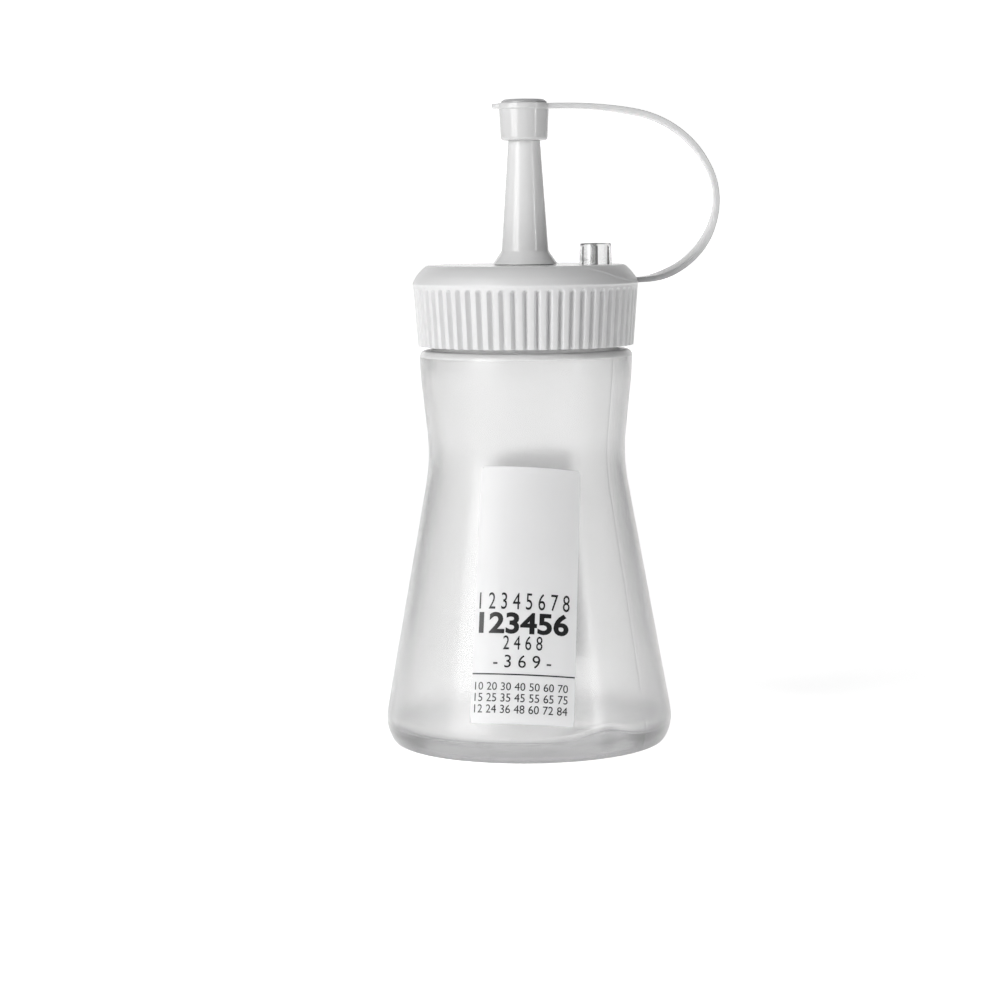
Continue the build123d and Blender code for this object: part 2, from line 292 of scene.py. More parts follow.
def blownPolyethylene(name, look):
    material, tree, where = startMaterial(name)
    streak = addNoise(tree, where, look["streakSize"], stretch=look["streakStretch"])
    ripple = addNoise(tree, where, look["rippleSize"])
    relief = addNode(tree, "Math", {0: streak, 1: ripple}, operation="ADD")
    # painted shade: grey where it is both low and near the rim, or close to the lump
    grey, plain = look["heelTop"]
    low = addFade(tree, addHeight(tree, where), plain, grey)
    level = addNode(tree, "Mapping", {"Vector": where, "Scale": (1, 1, 0)})
    radius = addNode(tree, "VectorMath", {0: level}, "Value", operation="LENGTH")
    rim = addFade(tree, radius, *look["heelEdge"])
    heel = addNode(tree, "Math", {0: low, 1: rim}, operation="MULTIPLY")
    place = [x * mm for x in look["lumpPlace"]]
    away = addNode(tree, "VectorMath", {0: where, 1: place}, "Value", operation="DISTANCE")
    near, far = look["lumpReach"]
    lump = addFade(tree, away, far, near)
    paintedShadeShare = addNode(tree, "Math", {0: heel, 1: lump}, operation="MAXIMUM")
    finish = {
        "Base Color": addMix(tree, paintedShadeShare, hexColour(look["colour"]), hexColour(look["heelShadeColour"])),
        "Transmission Weight": look["seeThrough"],
        "Roughness": addSpread(tree, streak, *look["roughness"]),
        "IOR": look["ior"],
        "Normal": addBump(tree, relief, look["streakStrength"], look["streakDepth"]),
    }
    addSurface(tree, finish)
    return material


# Opaque plastics: a pale pigment, a fine moulded grain, a slow unevenness in colour and gloss, and a
# little light that travels inside. Each piece has its own colour, gloss and grain below; some are greyer
# copies that paint shade, and one grows darker low down as painted shade.
def mouldedPlastic(name, look):
    material, tree, where = startMaterial(name)
    grain = addNoise(tree, where, look["grainSize"], 3.0)
    cloud = addNoise(tree, where, look["cloudSize"], 2.0)
    colour = addMix(tree, cloud, hexColour(look["colour"]), hexColour(look["deepColour"]))
    # painted shade: a look may name a grey that fades out upwards between two heights
    if "rootShadeColour" in look:
        foot, clear = look["rootShadeHeight"]
        paintedRootShade = addFade(tree, addHeight(tree, where), clear, foot)
        colour = addMix(tree, paintedRootShade, colour, hexColour(look["rootShadeColour"]))
    finish = {
        "Base Color": colour,
        "Roughness": addSpread(tree, cloud, *look["roughness"]),
        "IOR": look["ior"],
        "Transmission Weight": look.get("seeThrough", 0.0),
        "Subsurface Weight": look["inside"],
        "Subsurface Radius": (1.0, 1.0, 1.0),
        "Subsurface Scale": look["insideDepth"] * mm,
        "Normal": addBump(tree, grain, look["grainStrength"], look["grainDepth"]),
    }
    addSurface(tree, finish)
    return material


# Polypropylene, injection moulded in a spark-eroded tool: satin white, its grain 0.1 mm in truth and
# drawn at 0.35 mm so that it shows.
capLook = {
    "colour": "#dcdcdc",
    "deepColour": "#d6d6d7",
    "roughness": (0.32, 0.4),
    "ior": 1.49,
    "grainSize": 0.35,
    "grainDepth": 0.02,
    "grainStrength": 0.25,
    "cloudSize": 14,
    "inside": 0.06,
    "insideDepth": 0.6,
}
# The flat top of the same cap, where the tool is polished: it mirrors what lies behind it at a glance.
capTopLook = {"roughness": (0.13, 0.15), "grainSize": 6.0, "grainDepth": 0.01, "grainStrength": 0.05}
# Polyethylene from a polished tool, for the nozzle, tip cap and strap: smoother and glossier, with
# slow flow marks in its shine.
nozzleLook = {
    "colour": "#e3e3e3",
    "deepColour": "#dddddd",
    "roughness": (0.12, 0.17),
    "ior": 1.51,
    "grainSize": 2.5,
    "grainDepth": 0.02,
    "grainStrength": 0.15,
    "cloudSize": 9,
    "inside": 0.15,
    "insideDepth": 1.2,
}
# The tip cap and its tab are the same plastic painted a shade greyer: painted shade for the dimmer light on
# them.
tipShadeLook = {"colour": "#d8d8d8", "deepColour": "#d2d2d2"}
# The strap is the same plastic drawn thin, painted a little greyer, partly for its thinness and partly
# as painted shade on its dimmer faces, and painted much darker at its bent root: painted shade where it
# sits under the cap's rim.
strapShadeLook = {
    "colour": "#d6d6d6",
    "deepColour": "#d0d0d1",
    "rootShadeColour": "#9c9c9d",
    "rootShadeHeight": (113.0, 124.0),  # mm: between these heights that grey fades out
}
# The disc on top of the tip cap: the same plastic, painted a little greyer as painted shade on its
# upward-facing top and rim.
discShadeLook = {"colour": "#c0c0c1", "deepColour": "#bababb"}
# Foamed polyethylene seal: soft, dull and finely pitted.
sealLook = {
    "colour": "#ececea",
    "deepColour": "#e2e2df",
    "roughness": (0.6, 0.75),
    "ior": 1.5,
    "grainSize": 0.25,
    "grainDepth": 0.05,
    "grainStrength": 0.6,
    "cloudSize": 6,
    "inside": 0.2,
    "insideDepth": 1.0,
}
# Coated film label: bright, nearly matt, with faint fibres, and a little light comes through it. The
# film on the back is the thinner one.
labelLook = {
    "colour": "#f7f7f8",
    "deepColour": "#f2f2f3",
    "seeThrough": 0.06,
    "roughness": (0.34, 0.42),
    "ior": 1.5,
    "grainSize": 0.6,
    "grainDepth": 0.01,
    "grainStrength": 0.3,
    "cloudSize": 12,
    "inside": 0.6,
    "insideDepth": 0.8,
}
backLabelLook = {**labelLook, "seeThrough": 0.5}
# Black printing ink on film: dense, a little uneven, with a dull shine.
inkLook = {
    "colour": "#121213",
    "deepColour": "#1c1c1d",
    "roughness": (0.26, 0.34),
    "ior": 1.5,
    "grainSize": 0.5,
    "grainDepth": 0.005,
    "grainStrength": 0.3,
    "cloudSize": 5,
    "inside": 0.0,
    "insideDepth": 1.0,
}
# Natural polypropylene, moulded clear for the post: like slightly cloudy glass, with soft flow lines.
postLook = {
    "colour": "#f8f8f8",
    "seeThrough": 0.97,
    "roughness": 0.08,
    "ior": 1.49,
    "flowSize": 1.2,
    "flowStretch": 0.2,  # upright
    "flowDepth": 0.03,
    "flowStrength": 0.2,
}
# The thin wall inside the post cooled slowly, so it is cloudier.
webLook = {**postLook, "colour": "#dedede", "roughness": 0.26}


def clearPolypropylene(name, look):
    material, tree, where = startMaterial(name)
    flow = addNoise(tree, where, look["flowSize"], stretch=look["flowStretch"])
    finish = {
        "Base Color": hexColour(look["colour"]),
        "Transmission Weight": look["seeThrough"],
        "Roughness": look["roughness"],
        "IOR": look["ior"],
        "Normal": addBump(tree, flow, look["flowStrength"], look["flowDepth"]),
    }
    addSurface(tree, finish)
    return material


bottlePlastic = blownPolyethylene("blownPolyethylene", bottleLook)
thickPlastic = blownPolyethylene("thickPolyethylene", thickLook)
capPlastic = mouldedPlastic("satinPolypropylene", capLook)
capTopPlastic = mouldedPlastic("polishedPolypropylene", {**capLook, **capTopLook})
nozzlePlastic = mouldedPlastic("polishedPolyethylene", nozzleLook)
tipShadedPlastic = mouldedPlastic("shadedTipPolyethylene", {**nozzleLook, **tipShadeLook})
strapShadedPlastic = mouldedPlastic("shadedStrapPolyethylene", {**nozzleLook, **strapShadeLook})
discShadedPlastic = mouldedPlastic("shadedDiscPolyethylene", {**nozzleLook, **discShadeLook})
sealFoam = mouldedPlastic("foamedPolyethylene", sealLook)
labelFilm = mouldedPlastic("coatedPaperFilm", labelLook)
backLabelFilm = mouldedPlastic("thinCoatedFilm", backLabelLook)
labelInk = mouldedPlastic("blackPrintingInk", inkLook)
postPlastic = clearPolypropylene("clearPolypropylene", postLook)
webPlastic = clearPolypropylene("cloudyPolypropylene", webLook)
print("materials made")

# Bottle

bottle = {
    "bulgeHeight": 6.0,
    "heelRadius": 10.0,
    "heelStart": -26.0,  # degrees: where the heel's arc leaves the rounded foot
    "footEase": 1.7,
    "ringWidth": 5.1,
    "pushUp": 2.0,
    "waistDepth": 1.8,
    "waistHeight": 70.6,
    "waistBlend": 46.0,
    "chestBlend": 60.0,
    "shoulderWidth": 3.15,
    "shoulderGap": 1.0,  # up to the cap's skirt
    "cornerRadius": 1.5,
    "neckRadius": 22.5,
    "neckWall": 1.4,
    "neckEase": 0.8,
    "wall": 1.1,
    "baseWall": 4.6,  # a blown base stays thicker than the wall
    "heelWall": 0.4,  # what the wall gains towards the base
    "heelReach": 12.0,  # from this height down
    "cornerWall": 1.2,
    "cornerReach": 5.0,  # from this far below the shoulder up
    "cornerEases": (0.7, 1.0),  # inside the shoulder, at the bore and at the wall
    "floorEase": 2.2,
    "floorGap": 1.5,  # room between the floor and the wall's own line, and round the push-up
    "rimEase": 0.4,
    "threadPitch": 4.5,
    "threadTurns": 1.25,
    "threadDepth": 1.2,
    "threadRoot": 1.1,  # half widths
    "threadCrest": 0.55,
    "threadDrop": 2.4,
    "threadFade": 18.0,  # degrees over which a ridge runs out
    "threadRows": 72,
    "rowGap": 6.0,  # the longest step along the outline
    "wave": 0.03,
    "innerWave": 0.07,
    # the slow unevenness: waves round the bottle, their start, the height in which they turn by a
    # radian, and their share
    "slowWaves": ((2, 0.7, 17.0, 1.0), (3, 0.0, -11.0, 0.6), (7, 1.1, math.inf, 0.5)),
    "quickWaves": ((13, 40.0), (2, 9.0)),  # the product of two, for the inside
    "quickShare": 0.2,
    "evenEnds": (1.0, 1.0, 5.0, 4.0),  # no waves this near to the foot and shoulder, outside and inside
    "seamAngles": (-37.0, 143.0),  # degrees from +X: where the mould's halves met
    "seamWidth": 0.3,
    "seamHeight": 0.055,
    "lumpRise": 1.8,  # a thicker patch of the floor's rim
    "lumpAngle": -57.0,
    "lumpSpread": 13.0,
    "lumpEdge": (16.0, 26.0),  # radii between which it grows
    "lumpTop": (6.0, 9.0),  # heights between which it ends
    "thickShoulder": 1.6,  # the plastic is milky from this far below the shoulder upwards
    "turns": 208,
}
baseRadius = bottleHigh[0]
rimHeight = bottleHigh[2]
shoulderHeight = capLow[2] - bottle["shoulderGap"]
shoulderRadius = bottle["neckRadius"] + bottle["shoulderWidth"]
waistRadius = shoulderRadius - bottle["waistDepth"]


def tangentAngle(right, rightRadius, left, leftRadius):
    # the angle between the line of centres and the normal of the line that touches both circles
    dx, dy = right[0] - left[0], right[1] - left[1]
    spread = math.degrees(math.acos((rightRadius + leftRadius) / math.hypot(dx, dy)))
    along = math.degrees(math.atan2(dy, dx))
    return along - spread if dy > 0 else along + spread


def bottleOutside(shape):
    # heel arc, straight, waist arc, straight and chest arc, each tangent to the next, then the shoulder
    heel = (baseRadius - shape["heelRadius"], shape["bulgeHeight"])
    chestHeight = shoulderHeight - shape["cornerRadius"]
    waist = (waistRadius + shape["waistBlend"], shape["waistHeight"])
    chest = (shoulderRadius - shape["chestBlend"], chestHeight)
    lower = tangentAngle(waist, shape["waistBlend"], heel, shape["heelRadius"])
    upper = tangentAngle(waist, shape["waistBlend"], chest, shape["chestBlend"])
    return joined(
        arc(heel, shape["heelRadius"], shape["heelStart"], lower, 22),
        arc(waist, shape["waistBlend"], 180 + lower, 180 + upper, 24),
        arc(chest, shape["chestBlend"], upper, 0, 12),
        arc((shoulderRadius - shape["cornerRadius"], chestHeight), shape["cornerRadius"], 0, 90, 9),
    )


def offsetLine(line, distance):
    # each point moved against the line's outward normal by its own distance
    way = np.gradient(line, axis=0)
    way /= np.linalg.norm(way, axis=1)[:, None]
    return line - np.column_stack([way[:, 1], -way[:, 0]]) * np.asarray(distance)[:, None]


def bottleLines(shape):
    # the outside from the foot to the neck, and the inside back down, with thicker corners and base
    outside = refined(bottleOutside(shape), 1.5)
    radius, height = outside[:, 0], outside[:, 1]
    nearTop = smoothStep((height - (shoulderHeight - shape["cornerReach"])) / shape["cornerReach"])
    nearBase = smoothStep((shape["heelReach"] - height) / shape["heelReach"])
    thick = shape["wall"] + (shape["cornerWall"] - shape["wall"]) * nearTop + shape["heelWall"] * nearBase
    inside = offsetLine(outside, thick)
    floorTop, ceiling = shape["baseWall"], shoulderHeight - shape["cornerWall"]
    keep = (inside[:, 1] > floorTop + shape["floorGap"]) & (inside[:, 1] < ceiling - 0.6)
    keep &= (inside[:, 0] > shape["neckRadius"]) | (inside[:, 1] < shoulderHeight / 2)
    inside = inside[keep]
    foot = heelFoot(shape)
    ringInner = foot - shape["ringWidth"]
    dome = (ringInner**2 + shape["pushUp"] ** 2) / (2 * shape["pushUp"])
    half = math.degrees(math.asin(ringInner / dome))
    push = arc((0, shape["pushUp"] - dome), dome, 90, 90 - half, 14)
    floorEdge = ringInner + shape["floorGap"]
    bottom = joined(push, eased([(ringInner, 0, 0), (foot, 0, shape["footEase"]), (*outside[0], 0)], 8))
    boreRadius = shape["neckRadius"] - shape["neckWall"]
    atBore, atWall = shape["cornerEases"]
    neck = eased(
        [
            (*outside[-1], 0),
            (shape["neckRadius"], shoulderHeight, shape["neckEase"]),
            (shape["neckRadius"], rimHeight, shape["rimEase"]),
            (boreRadius, rimHeight, shape["rimEase"]),
            (boreRadius, ceiling, atBore),
            (inside[-1, 0], ceiling, atWall),
            (*inside[-1], 0),
        ]
    )
    low = inside[0]
    under = eased([(*low, 0), (low[0] - 0.4, floorTop, shape["floorEase"]), (floorEdge, floorTop, 0)], 8)
    innerPush = arc((0, shape["pushUp"] - dome), dome + floorTop, 90 - half, 90, 14)
    return outside, bottom, neck, inside, joined(under, innerPush)


def heelFoot(shape):
    return baseRadius - shape["heelRadius"] + math.sqrt(shape["heelRadius"] ** 2 - shape["bulgeHeight"] ** 2)


def threadRise(shape, angle, height, bottom):
    # how far a helical ridge stands out: a trapezoid across the helix, faded at both its ends
    total = 2 * np.pi * shape["threadTurns"]
    rise = np.zeros(np.broadcast(angle, height).shape)
    for lap in range(2):
        gone = angle + 2 * np.pi * lap
        away = np.abs(height - bottom - shape["threadPitch"] * gone / (2 * np.pi))
        flank = np.clip((shape["threadRoot"] - away) / (shape["threadRoot"] - shape["threadCrest"]), 0, 1)
        fade = math.radians(shape["threadFade"])
        ends = smoothStep(gone / fade) * smoothStep((total - gone) / fade)
        rise = np.maximum(rise, shape["threadDepth"] * flank * ends)
    return rise


def bottleGrid(shape):
    # the whole outline turned round, with a slow unevenness in each wall, the mould's seams and the thread
    outside, bottom, neck, inside, floor = bottleLines(shape)
    rows = np.linspace(shoulderHeight + 2, rimHeight - 0.5, shape["threadRows"])
    threadRun = np.column_stack([np.full(len(rows), shape["neckRadius"]), rows])
    isNeck = np.abs(neck[:, 0] - shape["neckRadius"]) < 1e-3
    split = int(np.argmax(isNeck)) + 1
    line = joined(bottom, outside, neck[:split], threadRun, neck[split:], inside[::-1], floor)
    line = refined(line, shape["rowGap"])
    seams = np.radians(np.array(shape["seamAngles"]))[:, None]
    across = np.linspace(-3, 3, 13)[None, :] * shape["seamWidth"] / baseRadius
    angle = np.sort(np.r_[evenTurn(shape["turns"]), ((seams + across) % (2 * np.pi)).ravel()])
    grid = turned(line, angle)
    radius, height = line[:, :1], line[:, 1:]
    way = np.gradient(line, axis=0)
    isInside = np.arange(len(line))[:, None] > len(bottom) + len(outside) + len(neck) / 2
    outerFoot, outerTop, innerFoot, innerTop = shape["evenEnds"]
    onOutside = (~isInside) & (height > outerFoot) & (height < shoulderHeight - outerTop)
    onInside = isInside & (height > innerFoot) & (height < shoulderHeight - innerTop)
    slow = 0
    for n, start, rise, part in shape["slowWaves"]:
        slow = slow + part * np.sin(n * angle + start + height / rise)
    first, second = [np.sin(n * angle + height / rise) for n, rise in shape["quickWaves"]]
    inner = slow * (1 - shape["quickShare"]) + first * second * shape["quickShare"]
    fromSeam = np.abs((angle - seams + np.pi) % (2 * np.pi) - np.pi).min(axis=0)
    seam = np.exp(-((radius * fromSeam) / shape["seamWidth"]) ** 2)
    push = onOutside * (shape["wave"] * slow + shape["seamHeight"] * seam)
    push = push + onInside * shape["innerWave"] * inner
    onNeck = (np.abs(radius - shape["neckRadius"]) < 1e-3) & (height > shoulderHeight)
    bottomOfThread = rimHeight - shape["threadDrop"] - shape["threadPitch"] * shape["threadTurns"]
    push = push + onNeck * threadRise(shape, angle, height, bottomOfThread)
    push = np.minimum(push, np.where(onOutside, baseRadius - radius, math.inf))
    scale = 1 + push / np.maximum(radius, 1)
    grid[..., :2] *= scale[..., None]
    fromLump = (np.degrees(angle) - shape["lumpAngle"] + 180) % 360 - 180
    lump = shape["lumpRise"] * np.exp(-((fromLump / shape["lumpSpread"]) ** 2))
    near, far = shape["lumpEdge"]
    full, top = shape["lumpTop"]
    onRim = isInside * smoothStep((radius - near) / (far - near)) * smoothStep((top - height) / (top - full))
    grid[..., 2] += onRim * lump
    return grid


bottleShell = addPiece("bottleShell", bottleGrid(bottle), bottlePlastic, sharp=50)
giveOther(bottleShell, thickPlastic, facesAbove(bottleShell, shoulderHeight - bottle["thickShoulder"]))
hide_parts("bottle_body")
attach(bottleShell, "bottle")
print("bottle made", len(bottleShell.data.polygons))

# Labels

outsideLine = bottleOutside(bottle)


def wallRadius(height):
    # the bottle's outside radius at each height, read along its outline
    return np.interp(height, outsideLine[:, 1], outsideLine[:, 0])


frontLabel = {
    "width": 24.6,
    "flare": 0.027,  # how much wider its foot is than its top
    "bottom": 9.7,
    "top": 68.6,
    "tilt": 2.8,  # degrees
    "shift": -0.4,
    "side": -1,
    "material": labelFilm,
    "rule": 11.1,
    "printShift": -0.4,
}
backLabel = {
    "width": 23.0,
    "flare": 0.0,
    "bottom": 15.3,
    "top": 68.2,
    "tilt": 3.0,
    "shift": -3.0,
    "side": 1,
    "material": backLabelFilm,
    "rule": 11.1,
    "printShift": 0.0,
}
film = {"gap": 0.05, "thickness": 0.15, "ink": 0.02, "corner": 0.3, "strip": 0.7, "coneSine": 0.25}
rule = {"inset": 0.1, "height": 0.3, "rows": 3}


def wrapped(label, across, up, lift):
    # flat label coordinates, tilted as one sheet, then bent round the wall: angle is width over radius,
    # and on a cone a straight edge falls away sideways by its reach squared times sine over 2 radii
    middle = (label["bottom"] + label["top"]) / 2
    tilt = math.radians(label["tilt"])
    rise = label["bottom"] + up - middle
    across = across * (1 - label["flare"] * up / (label["top"] - label["bottom"]))
    sideways = across * math.cos(tilt) + rise * math.sin(tilt)
    height = middle + rise * math.cos(tilt) - across * math.sin(tilt)
    height = height - sideways**2 * film["coneSine"] / (2 * wallRadius(height))
    radius = wallRadius(height)
    angle = (label["shift"] + sideways) / radius
    out = label["side"] * (radius + lift)
    return np.stack([-out * np.sin(angle), out * np.cos(angle), height + 0 * out], axis=-1)


def sheetGrid(label, left, right, low, high, inner, outer, across=24, up=40):
    # a thin closed sheet: its outer face, its inner face back again, and both ends drawn together
    u = np.linspace(left, right, across)
    v = np.linspace(low, high, up)
    inset = film["corner"] if right - left > 10 and high - low > 10 else 0
    around = np.r_[u, u[::-1]]
    lift = np.r_[np.full(across, outer), np.full(across, inner)]
    v = np.r_[v[0], v, v[-1]]
    flat = np.ones(len(v))
    flat[[0, -1]] = 0
    lifts = inner + (lift - inner)[None, :] * flat[:, None]
    fromEnd = np.minimum(v - v[0], v[-1] - v)
    squeeze = inset - np.sqrt(np.maximum(inset**2 - np.maximum(inset - fromEnd, 0) ** 2, 0))
    share = 1 - 2 * squeeze / (right - left)
    middle = (left + right) / 2
    wide = middle + (around - middle)[None, :] * share[:, None]
    tall = v[:, None] + 0 * wide
    place = np.stack([wide, tall], axis=-1) * mm
    return wrapped(label, wide, tall, lifts), place


def addSheet(name, label, left, right, low, high, ink, across=24, up=40):
    inner = film["gap"] + (film["thickness"] if ink else 0)
    outer = inner + (film["ink"] if ink else film["thickness"])
    grid, place = sheetGrid(label, left, right, low, high, inner, outer, across, up)
    piece = addPiece(name, grid, labelInk if ink else label["material"], place=place, sharp=30)
    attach(piece, "bottle")
    return piece


def cutIntoStrips(mesh, count):
    # upright cuts at even steps across the mesh, so that its flat faces can bend
    shape = bmesh.new()
    shape.from_mesh(mesh)
    left, right = min(v.co.x for v in shape.verts), max(v.co.x for v in shape.verts)
    for x in np.linspace(left, right, count + 1)[1:-1]:
        everything = [*shape.verts, *shape.edges, *shape.faces]
        bmesh.ops.bisect_plane(shape, geom=everything, plane_co=(x, 0, 0), plane_no=(1, 0, 0), dist=1e-5)
    bmesh.ops.triangulate(shape, faces=shape.faces)
    shape.to_mesh(mesh)
    shape.free()


def addNumbers(name, label, words, width, low, high, heavy=0.0):
    # outlines of plain figures, made a mesh, fitted to their place and bent round the wall like the film
    curve = bpy.data.curves.new(name, "FONT")
    curve.body = words
    curve.extrude = film["ink"] / 2
    curve.bevel_depth = heavy
    curve.bevel_resolution = 0
    curve.resolution_u = 4
    source = addObject(name + "Source", curve)
    bpy.context.view_layer.update()
    mesh = bpy.data.meshes.new_from_object(source.evaluated_get(bpy.context.evaluated_depsgraph_get()))
    bpy.data.objects.remove(source)
    cutIntoStrips(mesh, math.ceil(width / film["strip"]))
    flat = np.zeros(len(mesh.vertices) * 3)
    mesh.vertices.foreach_get("co", flat)
    flat = flat.reshape(-1, 3)
    least, most = flat.min(axis=0), flat.max(axis=0)
    share = (flat - least) / (most - least)
    across = label["printShift"] + width * (share[:, 0] - 0.5)
    lift = film["gap"] + film["thickness"] + film["ink"] * share[:, 2]
    bent = wrapped(label, across, low + (high - low) * share[:, 1], lift) * mm
    mesh.vertices.foreach_set("co", bent.ravel())
    mesh.update()
    finishMesh(mesh, 30)
    piece = addObject(name, mesh)
    mesh.materials.clear()
    mesh.materials.append(labelInk)
    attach(piece, "bottle")
    return piece


# rows of plain figures: the words, their width, their lowest and highest edge above the label's foot,
# and how much their strokes are thickened
printRows = [
    ("1 2 3 4 5 6 7 8", 21.6, 26.1, 29.9, 0.0),
    ("123456", 21.4, 20.5, 25.5, 0.03),
    ("2 4 6 8", 9.2, 16.9, 20.1, 0.0),
    ("- 3 6 9 -", 13.6, 12.8, 15.7, 0.0),
    ("10 20 30 40 50 60 70", 22.0, 7.6, 9.4, 0.0),
    ("15 25 35 45 55 65 75", 22.0, 5.0, 6.9, 0.0),
    ("12 24 36 48 60 72 84", 22.0, 2.4, 4.3, 0.0),
]


def printLabel(name, label):
    # a rule right across, and rows of figures above and below it
    half, low = label["width"] / 2 - rule["inset"], label["rule"]
    addSheet(name + "Rule", label, -half, half, low, low + rule["height"], True, 24, rule["rows"])
    for i, (words, width, low, high, heavy) in enumerate(printRows):
        addNumbers(f"{name}Numbers{i}", label, words, width, low, high, heavy)


def addFilm(name, label):
    half = label["width"] / 2
    return addSheet(name, label, -half, half, 0, label["top"] - label["bottom"], False)


front = addFilm("frontLabelFilm", frontLabel)
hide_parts("front_label")
printLabel("front", frontLabel)
back = addFilm("backLabelFilm", backLabel)
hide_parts("back_label")
printLabel("back", backLabel)
print("labels made")

# Screw cap

cap = {
    "ribCount": 60,
    "samples": 14,  # points across one rib
    "skirtWall": 1.95,
    "skirtFlare": 1.1,
    "ribHeight": 14.6,
    "grooveHalf": 0.78,
    "grooveDepth": 1.0,
    "grooveEnd": 13.3,  # up the skirt to the centre of a groove's round end
    "ribCrown": 0.28,
    "bandStep": 0.15,
    "bevelHeight": 4.1,
    "bevelWidth": 3.65,
    "bevelBulge": 0.42,
    "bevelEase": 1.7,  # how far up it the bevel turns out of the plain band
    "ceiling": 2.0,
    "boreRadius": 24.05,
    "holeRadius": 5.05,
    "padRise": 0.21,  # the raised pad that the strap grows from
    "padEdge": 0.22,
    "padFoot": 22.0,  # half angles, in degrees, between which its border climbs the bevel
    "padTop": 58.0,
    "padLow": 0.06,  # shares of the bevel's height at which the border starts and how far it climbs
    "padClimb": 0.75,
    "padFlat": 0.3,  # how much flatter the bevel is above the strap
    "padFlatHalf": 42.0,
}
bandRadius = cap["boreRadius"] + cap["skirtWall"] + cap["skirtFlare"] + cap["bandStep"]
capTop = capHigh[2]
skirtBottom = capLow[2]
bevelFoot = capTop - cap["bevelHeight"]


def capLine(shape):
    # the cap's section: skirt, band, bevel, top, nozzle hole, ceiling and bore, and back to the skirt
    skirtRadius = shape["boreRadius"] + shape["skirtWall"]
    bandBottom = skirtBottom + shape["ribHeight"]
    slant = math.hypot(shape["bevelWidth"], shape["bevelHeight"])
    t = np.linspace(0, 1, 34)[:, None]
    low = np.array([bandRadius, bevelFoot])
    high = np.array([bandRadius - shape["bevelWidth"], capTop])
    out = np.array([shape["bevelHeight"], shape["bevelWidth"]]) / slant
    bevel = low + (high - low) * t + out * shape["bevelBulge"] * 4 * t * (1 - t)
    start = eased(
        [
            (shape["boreRadius"] + 0.6, skirtBottom, 0),
            (skirtRadius, skirtBottom, 0.3),
            (skirtRadius + shape["skirtFlare"], bandBottom, 0.2),
            (bandRadius, bandBottom + 0.3, 0.15),
            (bandRadius, bandBottom + 0.4, 0),
        ]
    )
    # a quadratic curve from the band round its corner into the bevel
    first = int(shape["bevelEase"] / slant * len(bevel))
    t = np.linspace(0, 1, 12)[:, None]
    turn = (1 - t) ** 2 * start[-1] + 2 * t * (1 - t) * low + t**2 * bevel[first]
    top = eased(
        [
            (*bevel[-2], 0),
            (*high, 0.5),
            (shape["holeRadius"], capTop, 0.15),
            (shape["holeRadius"], capTop - shape["ceiling"], 0.15),
            (shape["boreRadius"], capTop - shape["ceiling"], 0.6),
            (shape["boreRadius"], skirtBottom + 0.6, 0),
        ]
    )
    return joined(start, turn, bevel[first:-2], top)


def capGrid(shape):
    line = refined(capLine(shape), 3.0)
    radius, height = line[:, :1], line[:, 1:]
    grooveTop = skirtBottom + shape["grooveEnd"]
    extra = np.linspace(grooveTop - 0.3, grooveTop + shape["grooveHalf"] + 0.1, 14)
    lean = shape["skirtFlare"] / shape["ribHeight"]
    skirtRadius = shape["boreRadius"] + shape["skirtWall"]
    rows = np.column_stack([skirtRadius + lean * (extra - skirtBottom), extra])
    outer = radius[:, 0] > skirtRadius - 0.01
    spot = int(np.argmax(outer & (height[:, 0] > grooveTop - 0.3)))
    last = int(np.argmax(outer & (height[:, 0] > grooveTop + shape["grooveHalf"] + 0.1)))
    line = np.vstack([line[:spot], rows, line[last:]])
    radius, height = line[:, :1], line[:, 1:]
    count = shape["ribCount"] * shape["samples"]
    angle = evenTurn(count)
    grid = turned(line, angle)
    # a groove is cut by how near a point is to its centre line, so its end is round
    phase = angle * shape["ribCount"] / (2 * np.pi)
    phase = phase - np.round(phase)
    across = phase * 2 * np.pi * radius / shape["ribCount"]
    beyond = np.maximum(height - grooveTop, 0)
    near = np.clip(np.hypot(across, beyond) / shape["grooveHalf"], 0, 1)
    row = np.arange(len(line))[:, None]
    onSkirt = (radius > skirtRadius - 0.6) & (height < bevelFoot) & (row < len(line) / 2)
    fromCrest = 1 - 2 * np.abs(phase)
    crown = shape["ribCrown"] * fromCrest**2 * smoothStep((grooveTop - height) / 2 + 0.5)
    cut = onSkirt * (shape["grooveDepth"] * (1 - near**2) ** 1.5 + crown)
    # the pad round the strap's foot: raised above an S-shaped border, and flatter than the bevel's bulge
    fromFoot = np.abs(np.degrees((angle + np.pi) % (2 * np.pi) - np.pi))
    share = np.clip((height - bevelFoot) / shape["bevelHeight"], 0, 1)
    climb = smoothStep((fromFoot - shape["padFoot"]) / (shape["padTop"] - shape["padFoot"]))
    above = (share - shape["padLow"] - shape["padClimb"] * climb) * shape["bevelHeight"]
    fade = smoothStep((shape["padTop"] + 3 - fromFoot) / 12) * smoothStep((capTop - height + 0.02) / 0.3)
    rise = shape["padRise"] * smoothStep(above / shape["padEdge"]) * fade
    beside = np.clip(1 - (fromFoot / shape["padFlatHalf"]) ** 2, 0, 1)
    flat = shape["padFlat"] * beside * 4 * share * (1 - share)
    onBevel = (height > bevelFoot - 0.3) & (radius > shape["holeRadius"] + 2) & (row < len(line) * 0.7)
    push = (rise - flat) * onBevel - cut
    grid[..., :2] *= (1 + push / radius)[..., None]
    return grid


capShell = addPiece("capShell", capGrid(cap), capPlastic, wrapRows=True, sharp=45)
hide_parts("screw_cap")
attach(capShell, "cap")
# its flat top is the polished surface
flatTop = facesAbove(capShell, capTop - 0.05) & (faceValues(capShell, "normal")[:, 2] > 0.99)
giveOther(capShell, capTopPlastic, flatTop)

capThread = {
    "pitch": 4.5,
    "turns": 1.25,
    "depth": 1.2,
    "rootHalf": 1.1,
    "crestHalf": 0.55,
    "bottom": 102.325,
    "rooted": 0.4,
    "fade": 18.0,
}


